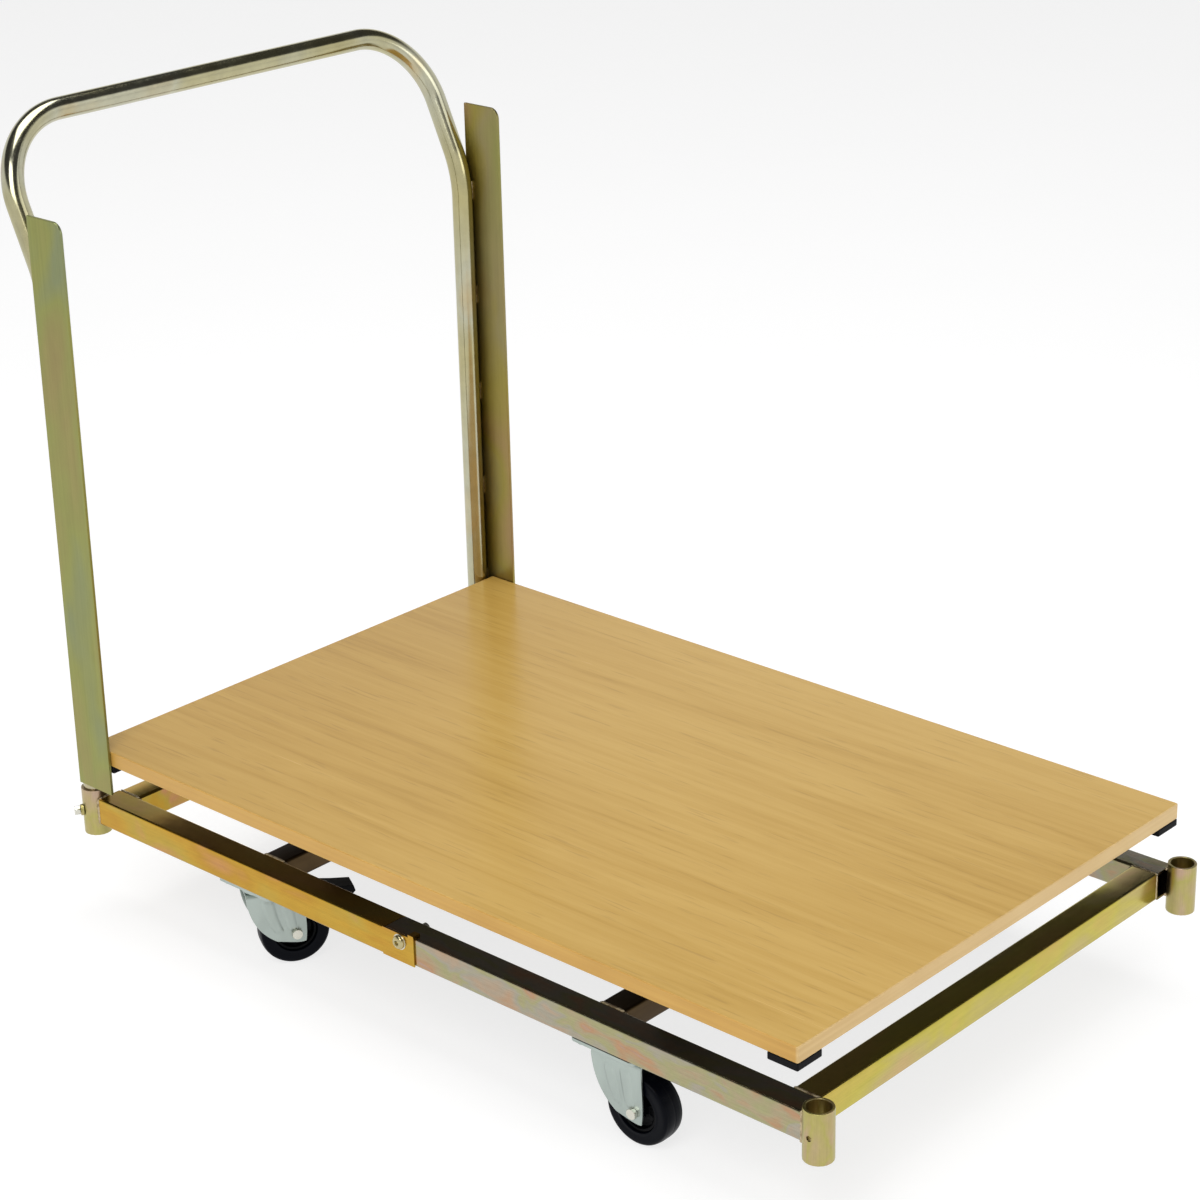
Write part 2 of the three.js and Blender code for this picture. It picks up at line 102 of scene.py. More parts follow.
# The nodes of one material, or of the world.
class Look:
    def __init__(self, owner):
        self.owner = owner
        owner.use_nodes = True
        self.tree = owner.node_tree
        self.tree.nodes.clear()

    def add(self, kind, settings=None, values=None, output=0):
        node = self.tree.nodes.new(kind)
        for key, value in (settings or {}).items():
            if key == "stops":
                self.setStops(node.color_ramp, value)
            else:
                setattr(node, key, value)
        for key, value in (values or {}).items():
            if isinstance(value, Wire):
                self.tree.links.new(value.socket, node.inputs[key])
            else:
                node.inputs[key].default_value = value
        return Wire(self, node.outputs[output]) if node.outputs else None

    def setStops(self, ramp, stops):
        while len(ramp.elements) < len(stops):
            ramp.elements.new(0.5)
        for element, (position, colour) in zip(ramp.elements, stops):
            element.position = position
            element.color = (*colour, 1)

    def place(self, scale=(1, 1, 1), turn=(0, 0, 0), shift=(0, 0, 0)):
        point = self.add("ShaderNodeTexCoord", output="Object")
        values = {"Vector": point, "Scale": scale, "Rotation": turn, "Location": shift}
        return self.add("ShaderNodeMapping", values=values)

    def noise(self, point, scale, detail=3.0, roughness=0.5, distortion=0.0):
        values = {"Vector": point, "Scale": scale, "Detail": detail, "Roughness": roughness}
        values["Distortion"] = distortion
        return self.add("ShaderNodeTexNoise", values=values)

    def ramp(self, factor, stops):
        return self.add("ShaderNodeValToRGB", {"stops": stops}, {"Fac": factor})

    def mix(self, factor, first, second, blend="MIX"):
        node = self.tree.nodes.new("ShaderNodeMix")
        node.data_type = "RGBA"
        node.blend_type = blend
        colours = [socket for socket in node.inputs if socket.type == "RGBA"]
        for socket, value in zip([node.inputs["Factor"], *colours], [factor, first, second]):
            if isinstance(value, Wire):
                self.tree.links.new(value.socket, socket)
            else:
                socket.default_value = (*value, 1) if isinstance(value, tuple) else value
        return Wire(self, next(socket for socket in node.outputs if socket.type == "RGBA"))

    def bump(self, height, distance, strength=1.0):
        values = {"Height": height, "Distance": distance, "Strength": strength}
        return self.add("ShaderNodeBump", values=values)

    def finish(self, values):
        surface = self.add("ShaderNodeBsdfPrincipled", values=values)
        self.add("ShaderNodeOutputMaterial", values={"Surface": surface})
        return self.owner


def newLook(name):
    return Look(bpy.data.materials.new(name))


# Passivated zinc: a thin iridescent film over plated steel, in soft patches that run along the
# tube, with fine drawing lines and a few duller smears.
def passivated(name, values):
    look = newLook(name)
    along = values["along"]
    patches = look.noise(look.place(along, shift=values["shift"]), values["patch"], 2.5, 0.45, 0.6)
    clouds = look.noise(look.place(along, shift=(3.1, 1.7, 0.4)), values["patch"] * 0.45, 2.0)
    tone = look.ramp(patches + (clouds - 0.5) * 0.8, values["film"])
    lines = look.noise(look.place(values["lines"]), 1.0, 4.0, 0.6)
    smears = look.noise(look.place(along), values["patch"] * 5.0, 5.0, 0.65)
    shade = look.ramp(lines * 0.55 + smears * 0.45, [(0.3, (0.8, 0.8, 0.8)), (0.7, (1, 1, 1))])
    colour = look.mix(1.0, tone, shade, "MULTIPLY")
    rough = values["rough"] + (smears - 0.5) * 0.14 + (lines - 0.5) * 0.06
    fine = look.noise(look.place(), 420.0, 3.0)
    normal = look.bump(fine * 0.6 + lines * 0.8, 0.00012, values["bump"])
    shader = {"Base Color": colour, "Roughness": rough, "Metallic": 1.0, "Normal": normal}
    return look.finish(shader)


# The films' colours, by the value of the noise that lays them out.
goldFilm = [(0.22, (0.6, 0.3, 0.105)), (0.38, (0.545, 0.3, 0.04)),
            (0.52, (0.575, 0.345, 0.045)), (0.66, (0.53, 0.365, 0.062)),
            (0.82, (0.6, 0.305, 0.13))]
paleFilm = [(0.2, (0.52, 0.32, 0.19)), (0.36, (0.46, 0.355, 0.25)), (0.47, (0.4, 0.37, 0.29)),
            (0.56, (0.4, 0.38, 0.2)), (0.66, (0.43, 0.36, 0.225)), (0.76, (0.5, 0.3, 0.17)),
            (0.88, (0.41, 0.345, 0.33))]
strawFilm = [(0.25, (0.6, 0.44, 0.11)), (0.45, (0.56, 0.48, 0.085)), (0.6, (0.545, 0.45, 0.15)),
             (0.8, (0.59, 0.4, 0.19))]
socketFilm = [(0.25, (0.52, 0.38, 0.27)), (0.45, (0.5, 0.41, 0.19)), (0.62, (0.47, 0.42, 0.14)),
              (0.8, (0.54, 0.38, 0.26))]
oliveFilm = [(0.22, (0.25, 0.29, 0.11)), (0.42, (0.28, 0.31, 0.16)), (0.58, (0.33, 0.34, 0.11)),
             (0.78, (0.36, 0.3, 0.12))]
ochreFilm = [(0.22, (0.3, 0.29, 0.095)), (0.42, (0.32, 0.27, 0.12)), (0.58, (0.34, 0.28, 0.07)),
             (0.78, (0.37, 0.25, 0.11))]
barFilm = [(0.25, (0.48, 0.42, 0.19)), (0.45, (0.5, 0.47, 0.29)), (0.6, (0.52, 0.51, 0.38)),
           (0.8, (0.54, 0.4, 0.18))]
# Painted shade: the cross members' film is a near-black brown, standing in for the shade they lie in
# under the deck.
shadeBrownFilm = [(0.3, (0.06, 0.036, 0.02)), (0.5, (0.085, 0.054, 0.024)), (0.75, (0.12, 0.076, 0.034))]

steelValues = {
    "rearRail": {"film": goldFilm, "along": (0.35, 1, 1), "lines": (2, 900, 900),
                 "shift": (0, 0, 0), "patch": 26.0, "rough": 0.19, "bump": 0.2},
    "frontRail": {"film": paleFilm, "along": (0.4, 1, 1), "lines": (2, 900, 900),
                  "shift": (0.6, 0.2, 0), "patch": 44.0, "rough": 0.19, "bump": 0.2},
    "endRail": {"film": strawFilm, "along": (1, 0.35, 1), "lines": (900, 2, 900),
                "shift": (0.2, 0.5, 0), "patch": 24.0, "rough": 0.19, "bump": 0.2},
    # painted shade: the cross members take the near-black brown film for the deck's shadow
    "crossMember": {"film": shadeBrownFilm, "along": (1, 0.35, 1), "lines": (900, 2, 900),
                    "shift": (0, 0, 0), "patch": 22.0, "rough": 0.4, "bump": 0.4},
    "socket": {"film": socketFilm, "along": (1, 1, 0.5), "lines": (700, 700, 20),
               "shift": (0.1, 0.3, 0), "patch": 40.0, "rough": 0.33, "bump": 0.5},
    "wing": {"film": oliveFilm, "along": (1, 1, 0.4), "lines": (300, 300, 6),
             "shift": (0.3, 0.1, 0.2), "patch": 12.0, "rough": 0.4, "bump": 0.6},
    "farWing": {"film": ochreFilm, "along": (1, 1, 0.4), "lines": (300, 300, 6),
                "shift": (0.1, 0.4, 0.2), "patch": 12.0, "rough": 0.38, "bump": 0.6},
    "handle": {"film": barFilm, "along": (1, 0.5, 0.4), "lines": (60, 60, 60),
               "shift": (0.2, 0, 0.1), "patch": 14.0, "rough": 0.17, "bump": 0.2},
}


# Bright zinc: pale grey with a green-blue cast, clouded by the plating.
def zinc(name, colour, rough):
    look = newLook(name)
    clouds = look.noise(look.place((1, 1, 0.35)), 38.0, 3.0, 0.5)
    spots = look.noise(look.place(), 380.0, 3.0)
    dark = tuple(channel * 0.86 for channel in colour)
    tone = look.mix(clouds.between(0.3, 0.7), dark, colour)
    normal = look.bump(spots + clouds, 0.0001, 0.5)
    uneven = rough + (clouds - 0.5) * 0.2
    shader = {"Base Color": tone, "Roughness": uneven, "Metallic": 0.9, "Normal": normal}
    return look.finish(shader)


# Weld metal: dull gold-brown with heat rings across the bead and fine spatter.
def weldMetal():
    look = newLook("weldMetal")
    soot = look.noise(look.place(), 90.0, 4.0, 0.6)
    grit = look.noise(look.place(), 900.0, 2.0)
    stops = [(0.3, (0.2, 0.13, 0.07)), (0.5, (0.52, 0.42, 0.26)), (0.7, (0.66, 0.56, 0.38))]
    tone = look.ramp(soot, stops)
    normal = look.bump(grit + soot, 0.0003, 0.6)
    shader = {"Base Color": tone, "Roughness": 0.42 + soot * 0.15, "Metallic": 0.85, "Normal": normal}
    return look.finish(shader)


# Beech decor: long grain along X, short dark flecks of the rays, a slow drift of tone, and painted shade
# towards the rear end.
woodValues = {
    "light": (0.655, 0.422, 0.12), "dark": (0.52, 0.312, 0.072), "fleck": (0.38, 0.22, 0.06),
    "grain": (1.1, 16, 16), "fleckStretch": (14, 240, 240), "drift": 2.2,
}


def beechFace():
    look = newLook("beechFace")
    grain = look.noise(look.place(woodValues["grain"]), 1.6, 5.0, 0.58, 1.1)
    fine = look.noise(look.place((2.5, 130, 130)), 1.0, 4.0, 0.6)
    drift = look.noise(look.place((0.5, 1, 1)), woodValues["drift"], 2.0, 0.5, 0.4)
    flecks = look.noise(look.place(woodValues["fleckStretch"]), 1.0, 2.0)
    strength = grain * 0.45 + fine * 0.3 + drift * 0.35
    stops = [(0.4, woodValues["dark"]), (0.5, (0.6, 0.373, 0.096)), (0.62, woodValues["light"])]
    tone = look.ramp(strength, stops)
    tone = look.mix(flecks.between(0.6, 0.72) * 0.35, tone, woodValues["fleck"])
    # Painted shade: the face is multiplied towards (0.83, 0.76, 0.52) towards its rear end, near the
    # handle's plates.
    place = look.add("ShaderNodeSeparateXYZ", values={"Vector": look.place()})
    paintedRearShade = 1 - place.between(-0.55, 0.05)
    tone = look.mix(paintedRearShade * 0.55, tone, (0.83, 0.76, 0.52), "MULTIPLY")
    relief = fine * 0.5 - flecks.between(0.6, 0.75) * 0.8
    normal = look.bump(relief, 0.00006, 0.5)
    rough = 0.2 + fine * 0.1
    shader = {"Base Color": tone, "Roughness": rough, "Normal": normal, "Specular IOR Level": 0.5}
    return look.finish(shader)


def beechEdge():
    look = newLook("beechEdge")
    streaks = look.noise(look.place((3, 3, 160)), 1.0, 4.0, 0.6)
    drift = look.noise(look.place(), 9.0, 2.0)
    stops = [(0.3, (0.6, 0.39, 0.145)), (0.55, (0.7, 0.49, 0.215)), (0.75, (0.75, 0.55, 0.27))]
    tone = look.ramp(streaks * 0.6 + drift * 0.4, stops)
    place = look.add("ShaderNodeSeparateXYZ", values={"Vector": look.place()})
    side = 1 - place.between(0.586, 0.589)
    tone = look.mix(side, tone, (0.9, 0.74, 0.36), "MULTIPLY")
    normal = look.bump(streaks, 0.00005, 0.4)
    return look.finish({"Base Color": tone, "Roughness": 0.38 + streaks * 0.15, "Normal": normal})


# The underside's backing sheet and the battens: near-black wood with open grain. The near-black is
# painted shade, standing in for the shade under the deck, which the rails' top faces also reflect.
def shadeDarkWood(name, light, dark):
    look = newLook(name)
    grain = look.noise(look.place((3, 40, 40)), 1.5, 5.0, 0.6, 0.8)
    tone = look.ramp(grain, [(0.35, dark), (0.65, light)])
    normal = look.bump(grain, 0.0002, 0.5)
    return look.finish({"Base Color": tone, "Roughness": 0.5 + grain * 0.2, "Normal": normal})


# Moulded rubber and plastic: nearly black, with a fine grain and dusty scuffs.
def moulded(name, colour, rough, grainSize, scuff):
    look = newLook(name)
    grain = look.noise(look.place(), grainSize, 3.0, 0.6)
    dust = look.noise(look.place(), 38.0, 5.0, 0.62)
    lighter = tuple(channel + scuff for channel in colour)
    tone = look.mix(dust.between(0.52, 0.78), colour, lighter)
    normal = look.bump(grain, 0.00015, 0.5)
    shader = {"Base Color": tone, "Roughness": rough + (dust - 0.5) * 0.3, "Normal": normal,
              "Specular IOR Level": 0.07}
    return look.finish(shader)


looks = {name: passivated(name + "Steel", values) for name, values in steelValues.items()}
looks["zinc"] = zinc("forkZinc", (0.43, 0.49, 0.455), 0.33)
looks["bolt"] = zinc("boltZinc", (0.72, 0.71, 0.62), 0.24)
looks["goldBolt"] = zinc("goldBoltZinc", (0.52, 0.45, 0.24), 0.2)
looks["weld"] = weldMetal()
looks["beech"] = beechFace()
looks["edge"] = beechEdge()
# painted shade: the backing sheet and the battens are coloured near-black for the shade under the deck
looks["backing"] = shadeDarkWood("backingSheet", (0.03, 0.022, 0.016), (0.016, 0.012, 0.009))
looks["batten"] = shadeDarkWood("stainedBatten", (0.055, 0.038, 0.024), (0.025, 0.018, 0.012))
# The tyre's and the hub's near-black colours carry a navy tint that is painted sheen: the wheels' bluish
# sheen put into their colour.
looks["tyre"] = moulded("tyreRubber", (0.0012, 0.0018, 0.004), 0.36, 700.0, 0.002)
looks["pad"] = moulded("padRubber", (0.006, 0.006, 0.007), 0.55, 900.0, 0.006)
looks["plastic"] = moulded("blackPlastic", (0.0015, 0.0017, 0.0024), 0.4, 500.0, 0.002)
print("materials made:", len(looks))


# Meshes. A grid of points becomes quads; closeRows and closeColumns join its last row or column
# to its first, and merging closes poles and seams.
def gridPiece(name, points, look, body, closeRows=False, closeColumns=True):
    rows, columns = points.shape[:2]
    rowIndex = np.arange(rows if closeRows else rows - 1)[:, None]
    columnIndex = np.arange(columns if closeColumns else columns - 1)[None, :]
    nextRow = (rowIndex + 1) % rows
    nextColumn = (columnIndex + 1) % columns
    corners = [rowIndex * columns + columnIndex, rowIndex * columns + nextColumn,
               nextRow * columns + nextColumn, nextRow * columns + columnIndex]
    faces = np.stack(np.broadcast_arrays(*corners), -1).reshape(-1, 4)
    mesh = bpy.data.meshes.new(name)
    mesh.from_pydata(points.reshape(-1, 3).tolist(), [], faces.tolist())
    tidyMesh(mesh)
    return dressed(name, mesh, look, body)


def tidyMesh(mesh, planar=False):
    work = bmesh.new()
    work.from_mesh(mesh)
    bmesh.ops.remove_doubles(work, verts=work.verts, dist=2e-6)
    bmesh.ops.dissolve_degenerate(work, edges=work.edges, dist=1e-6)
    if planar:
        flat = math.radians(0.6)
        bmesh.ops.dissolve_limit(work, angle_limit=flat, verts=work.verts, edges=work.edges)
    bmesh.ops.recalc_face_normals(work, faces=work.faces)
    work.to_mesh(mesh)
    work.free()


def dressed(name, mesh, look, body, sharpAngle=38):
    piece = bpy.data.objects.new(name, mesh)
    bpy.context.scene.collection.objects.link(piece)
    mesh.materials.clear()
    mesh.materials.append(looks[look])
    mesh.shade_smooth()
    mesh.set_sharp_from_angle(angle=math.radians(sharpAngle))
    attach(piece, body)
    return piece


def rounded(piece, width, segments=2):  # small rounds on every sharp edge, flats kept flat
    bevel = piece.modifiers.new("rounds", "BEVEL")
    bevel.width = width
    bevel.segments = segments
    bevel.limit_method = "ANGLE"
    bevel.angle_limit = math.radians(38)
    piece.modifiers.new("flats", "WEIGHTED_NORMAL")
    return piece


# A CAD node's shape with its sharp edges rounded: a merged copy takes its place.
def softened(node, look, width, segments=2):
    source = frame["nodes"][node]
    mesh = source.data.copy()
    tidyMesh(mesh, planar=True)
    piece = dressed(node + "_shape", mesh, look, source["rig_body"], 50)
    rounded(piece, width, segments)
    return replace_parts(piece, node)


# Two directions square to an axis and to each other, and a circle's points in their plane.
def squareTo(axis):
    helper = np.array([0, 0, 1.0]) if abs(axis[2]) < 0.9 else np.array([1.0, 0, 0])
    first = np.cross(axis, helper)
    first /= np.linalg.norm(first)
    return first, np.cross(axis, first)


def circle(first, second, count, start=0.0):
    angle = start + np.arange(count) * tau / count
    return np.cos(angle)[:, None] * first + np.sin(angle)[:, None] * second


# A turned solid: radius and station pairs swept about an axis.
def turnedPoints(profile, origin, axis, count=48, start=0.0):
    profile = np.array(profile, float)
    axis = np.array(axis, float) / np.linalg.norm(axis)
    ring = circle(*squareTo(axis), count, start)
    radius, station = profile[:, 0], profile[:, 1]
    return np.array(origin) + radius[:, None, None] * ring + (station[:, None] * axis)[:, None, :]


# The distance from a hexagon's middle to its side, in each direction.
def hexRadius(across, angle):
    return across / 2 / np.cos((angle + math.pi / 6) % (math.pi / 3) - math.pi / 6)


# A rounded rectangle as a closed loop: each corner is an arc of steps + 1 points.
def rectangleLoop(width, height, radius, steps=6):
    quarter = np.linspace(0, math.pi / 2, steps + 1)
    angle = np.concatenate([quarter + turn * math.pi / 2 for turn in range(4)])
    signX = np.repeat([1, -1, -1, 1], steps + 1)
    signY = np.repeat([1, 1, -1, -1], steps + 1)
    x = signX * (width / 2 - radius) + radius * np.cos(angle)
    y = signY * (height / 2 - radius) + radius * np.sin(angle)
    return np.stack([x, y], -1)


# Square tube: a rounded rectangular loop carried along one axis, outside and back inside, closed by
# a rounded rim at each end.
tubeValues = {"wall": 0.003, "corner": 0.0036, "innerCorner": 0.0012, "rim": 0.0005, "steps": 6}


def squareTube(node, axis, look):
    low, high = (np.array(corner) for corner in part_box(node))
    size, middle = high - low, (low + high) / 2
    wall, rim = tubeValues["wall"], tubeValues["rim"]
    across = [k for k in range(3) if k != axis]
    width, height = size[across[0]], size[across[1]]
    end = size[axis] / 2
    outer = [(-end, -rim), (-end + rim, 0), (end - rim, 0), (end, -rim)]
    inner = [(end, rim - wall), (end - rim, -wall), (-end + rim, -wall), (-end, rim - wall)]
    rows = []
    for station, offset in outer + inner:
        radius = tubeValues["corner"] if offset > -wall / 2 else tubeValues["innerCorner"]
        loop = rectangleLoop(width + 2 * offset, height + 2 * offset, radius, tubeValues["steps"])
        row = np.zeros((len(loop), 3))
        row[:, across[0]], row[:, across[1]], row[:, axis] = loop[:, 0], loop[:, 1], station
        rows.append(row + middle)
    body = frame["nodes"][node]["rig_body"]
    piece = gridPiece(node + "_tube", np.array(rows), look, body, closeRows=True)
    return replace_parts(piece, node)


def makeFrame():
    for half, look in [("rear", "rearRail"), ("front", "frontRail")]:
        squareTube(f"{half}_end_rail", 1, "rearRail" if half == "rear" else "endRail")
        # the cross member's near-black brown look is painted shade
        squareTube(f"{half}_cross_member", 1, "crossMember")
        for side in sideSigns:
            softened(f"{half}_side_rail_{side}", look, 0.0006)
            softened(f"{half}_socket_{side}", "socket", 0.0005)


# A weld: a round bead along a straight line, swollen at each ripple and drawn in at its ends.
weldValues = {
    "pitch": 0.0022, "swell": 0.14, "around": 12, "perPitch": 5, "taper": 0.0035,
    "wander": 0.18, "trim": 0.002, "inside": 0.0026, "thin": 0.0013, "cross": 0.0028,
    "crossTop": 0.0015, "socketSide": 0.0022, "socketEnd": 0.0021, "socketReach": 0.0085,
    "wing": 0.0017, "wingReach": 0.013,
}


def weldBead(name, start, end, radius, body):
    start, end = np.array(start, float), np.array(end, float)
    length = np.linalg.norm(end - start)
    along = (end - start) / length
    first, second = squareTo(along)
    count = max(int(length / weldValues["pitch"]) * weldValues["perPitch"], 16)
    station = np.linspace(0, length, count)
    ripple = 1 + weldValues["swell"] * np.abs(np.sin(math.pi * station / weldValues["pitch"]))
    nearEnd = np.clip(np.minimum(station, length - station) / weldValues["taper"], 0, 1)
    size = radius * ripple * np.sqrt(1 - (1 - nearEnd) ** 2)
    wander = radius * weldValues["wander"] * np.sin(station * 900 + length * 4000)
    ring = circle(first, second, weldValues["around"])
    line = start + station[:, None] * along + wander[:, None] * first
    points = line[:, None, :] + size[:, None, None] * ring
    return gridPiece(name, points, "weld", body)


def uprightWeld(name, x, y, low, high, radius, body):
    return weldBead(name, (x, y, low), (x, y, high), radius, body)


def makeWelds():
    value, trim = weldValues, weldValues["trim"]
    railLow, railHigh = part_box("rear_side_rail_near")[0].z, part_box("rear_cross_member")[1].z
    for half, end in [("rear", -1), ("front", 1)]:
        body = f"{half}_frame"
        endRail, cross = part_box(f"{half}_end_rail"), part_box(f"{half}_cross_member")
        outerX = endRail[1].x if end > 0 else endRail[0].x
        innerX = endRail[0].x if end > 0 else endRail[1].x
        for side, sign in sideSigns.items():
            y = sign * endRail[1].y
            uprightWeld(f"weld_{half}_corner_in_{side}", innerX - end * 0.0004, y - sign * 0.0008,
                        railLow + trim, railHigh - trim, value["inside"], body)
            weldBead(f"weld_{half}_corner_top_{side}", (innerX, y, railHigh - 0.0006),
                     (outerX, y, railHigh - 0.0006), value["thin"], body)
            uprightWeld(f"weld_{half}_corner_out_{side}", outerX - end * 0.0006, y,
                        railLow + trim, railHigh - trim, value["thin"], body)
            crossY = sign * cross[1].y
            for face, x in [("a", cross[0].x), ("b", cross[1].x)]:
                uprightWeld(f"weld_{half}_cross_{face}_{side}", x, crossY - sign * 0.0006,
                            cross[0].z + trim, cross[1].z - 0.001, value["cross"], body)
            weldBead(f"weld_{half}_cross_top_{side}", (cross[0].x + 0.001, crossY, railHigh - 0.0004),
                     (cross[1].x - 0.001, crossY, railHigh - 0.0004), value["crossTop"], body)
            socket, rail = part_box(f"{half}_socket_{side}"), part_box(f"{half}_side_rail_{side}")
            socketY = (socket[0].y + socket[1].y) / 2
            railSide = sign * max(abs(rail[0].y), abs(rail[1].y))
            uprightWeld(f"weld_{half}_socket_side_{side}", outerX + end * 0.0014,
                        railSide - sign * 0.0012, railLow + 0.001, railHigh,
                        value["socketSide"], body)
            for place, z in [("top", railHigh - 0.0008), ("foot", railLow + 0.0008)]:
                x, reach = outerX + end * 0.0005, value["socketReach"]
                weldBead(f"weld_{half}_socket_{place}_{side}", (x, socketY - reach, z),
                         (x, socketY + reach, z), value["socketEnd"], body)


# The handle's centre line: up a leg, a bend back, a straight, a corner, the bar, and the same
# again. Each arc is a circle's points in the plane that holds both its straights.
handleValues = {
    "radius": 0.01345, "wall": 0.0025, "bendHeight": 0.76, "lean": 24.5, "bendRadius": 0.15,
    "leanLength": 0.1665, "cornerRadius": 0.1, "bendSteps": 20, "cornerSteps": 40, "around": 56,
    "welds": [0.22, 0.355, 0.49, 0.625, 0.767], "weldShifts": {"a": 0.0052, "b": -0.0048},
}


def handleLine():
    low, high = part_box("handle_tube")
    value = handleValues
    lean, legX = math.radians(value["lean"]), high.x - value["radius"]
    legY = high.y - value["radius"]
    slope = np.array([-math.sin(lean), 0, math.cos(lean)])
    turn = np.linspace(0, lean, value["bendSteps"])
    bendX = legX - value["bendRadius"] * (1 - np.cos(turn))
    bendZ = value["bendHeight"] + value["bendRadius"] * np.sin(turn)
    leg = np.stack([np.full(2, legX), np.full(2, -legY), [low.z, (low.z + value["bendHeight"]) / 2]], -1)
    bend = np.stack([bendX, np.full(len(turn), -legY), bendZ], -1)
    start = bend[-1] + slope * (value["leanLength"] - value["cornerRadius"])
    sweep = np.linspace(0, math.pi / 2, value["cornerSteps"])
    corner = start + value["cornerRadius"] * np.sin(sweep)[:, None] * slope
    corner[:, 1] += value["cornerRadius"] * (1 - np.cos(sweep))
    half = np.concatenate([leg, bend, corner])
    return np.concatenate([half, (half * [1, -1, 1])[::-1]])


# The tube: circles square to the line, whose second direction lies in the leg's own plane, so
# that the rings don't twist; outside, round the rim, and back along the bore.
def makeHandle():
    line, value = handleLine(), handleValues
    tangent = np.gradient(line, axis=0)
    tangent /= np.linalg.norm(tangent, axis=1)[:, None]
    slope = math.radians(value["lean"])
    plane = np.array([-math.cos(slope), 0, -math.sin(slope)])
    flat = np.stack([-np.abs(tangent[:, 2]), 0 * line[:, 0], tangent[:, 0] * np.sign(tangent[:, 2])], -1)
    length = np.linalg.norm(flat, axis=1)[:, None]
    second = np.where(np.abs(tangent[:, 1:2]) > 1e-3, plane, flat / np.maximum(length, 1e-9))
    first = np.cross(second, tangent)
    ring = circle(first[:, None], second[:, None], value["around"])
    outside = line[:, None] + value["radius"] * ring
    inside = line[:, None] + (value["radius"] - value["wall"]) * ring
    points = np.concatenate([outside, inside[::-1]])
    piece = gridPiece("push_handle", points, "handle", "handle", closeRows=True)
    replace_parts(piece, "handle_tube")
    legX, legY = line[0, 0], abs(line[0, 1])
    for side, sign in sideSigns.items():
        softened(f"wing_plate_{side}", "wing" if sign < 0 else "farWing", 0.0007)
        face = sign * (legY + value["radius"] + 0.0001)
        y, reach = face - sign * 0.0012, weldValues["wingReach"]
        for count, z in enumerate(value["welds"]):
            for edge, shift in value["weldShifts"].items():
                uprightWeld(f"weld_wing_{side}_{count}{edge}", legX + shift, y, z - reach, z + reach,
                            weldValues["wing"], "handle")


# Bolts: a button head with a hexagonal socket, a thin washer under it, a nut with chamfered
# corners and a turned thread that stands past it.
boltValues = {
    "headRadius": 0.0083, "headHeight": 0.0049, "headRim": 0.0008, "washerRadius": 0.0095,
    "washerHeight": 0.0007, "socketAcross": 0.0056, "socketDepth": 0.003, "mouthShare": 1.22,
    "stemRadius": 0.0049, "threadPitch": 0.00125, "threadLength": 0.02, "nutAcross": 0.0122,
    "nutBore": 0.0046, "washerBore": 0.0045, "around": 72, "chamferShare": 0.075, "faceShare": 1.02,
}


def threadProfile(radius, start, end, pitch, depth=0.0004):
    station = np.linspace(start, end, max(int(abs(end - start) / pitch * 8), 8))
    wave = np.abs(((station - start) / pitch) % 1.0 - 0.5) * 2
    return np.stack([radius - depth * wave, station], -1)


# A hexagonal bar between two stations: each end face is a round disc, and a chamfer runs from
# its rim out to the hexagon. A bore is left open for the last row to close on the first.
def hexPoints(origin, axis, across, start, end, bore=0.0):
    value = boltValues
    axis = np.array(axis, float) / np.linalg.norm(axis)
    angle = np.arange(value["around"]) * tau / value["around"]
    chamfer = np.sign(end - start) * across * value["chamferShare"]
    stations = np.array([start, start, start + chamfer, end - chamfer, end, end])
    face, hole = across / 2 * value["faceShare"], max(bore, 1e-9)
    hexagon = hexRadius(across, angle)
    reach = np.stack([np.broadcast_to(row, angle.shape)
                      for row in (hole, face, hexagon, hexagon, face, hole)])
    ring = circle(*squareTo(axis), value["around"])
    return np.array(origin) + reach[..., None] * ring + stations[:, None, None] * axis


# A button head: a quarter ellipse from its rim to its crown, then a hexagonal socket let into it.
def buttonHead(name, origin, axis, seat, body):
    value = boltValues
    sweep = np.linspace(0, 1, 12) * math.pi / 2
    mouth, rim = value["socketAcross"] / 2 * value["mouthShare"], value["headRim"]
    dome = np.stack([mouth + (value["headRadius"] - mouth) * np.cos(sweep),
                     seat + rim + (value["headHeight"] - rim) * np.sin(sweep)], -1)
    top = seat + value["headHeight"]
    floor = top - value["socketDepth"]
    profile = [(1e-9, seat), (value["headRadius"], seat), *dome.tolist(),
               (mouth * 0.97, top - 0.0003), (1.0, top - 0.0005), (1.0, floor), (1e-9, floor - 0.0006)]
    count = value["around"]
    points = turnedPoints(profile, (0, 0, 0), axis, count)
    unit = np.array(axis, float) / np.linalg.norm(axis)
    reach = hexRadius(value["socketAcross"], np.arange(count) * tau / count)
    for row in (-3, -2):  # the socket's walls, as a hexagon
        station = profile[row][1]
        points[row] = station * unit + (points[row] - station * unit) * reach[:, None]
    return gridPiece(name, points + np.array(origin), "goldBolt", body)


def washer(name, origin, axis, seat, body, radius, thickness):
    bore = boltValues["washerBore"]
    inset, top = 0.0002, seat + thickness
    profile = [(bore, seat), (radius - inset, seat), (radius, seat + inset), (radius, top - inset),
               (radius - inset, top), (bore, top)]
    points = turnedPoints(profile, origin, axis, 48)
    return gridPiece(name, points, "bolt", body, closeRows=True)


